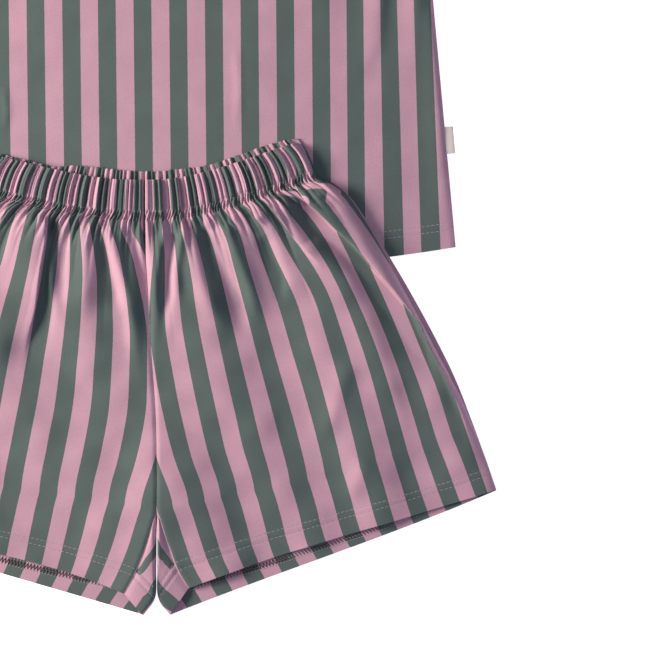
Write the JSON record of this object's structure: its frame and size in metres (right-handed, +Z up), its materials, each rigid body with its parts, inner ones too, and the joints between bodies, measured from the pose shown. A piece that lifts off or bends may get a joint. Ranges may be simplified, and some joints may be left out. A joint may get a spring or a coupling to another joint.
{
  "type": "pyjama set",
  "caption": "Short-sleeved crew neck tee and gathered elastic-waist shorts in striped cotton jersey, laid flat with the shorts over the tee's hem.",
  "frame": {"origin": "middle of the set's outline, on the surface that it lies on", "axes": "+Z up from the surface, +Y from the shorts' hems towards the tee's neck, +X towards the wearer's left"},
  "size_m": [0.7278, 0.914, 0.02],
  "materials": {
    "striped_jersey": "soft matte knit, pink and grey-green stripes",
    "jersey_rib": "soft matte rib knit",
    "label_ribbon": "plain satin ribbon"
  },
  "bodies": {
    "root": {"shirt_front": "striped_jersey", "shirt_back": "striped_jersey", "sleeve_left": "striped_jersey", "sleeve_right": "striped_jersey", "neckband": "jersey_rib", "side_label": "label_ribbon", "shorts_front_left": "striped_jersey", "shorts_front_right": "striped_jersey", "shorts_back_left": "striped_jersey", "shorts_back_right": "striped_jersey"}
  },
  "joints": []
}
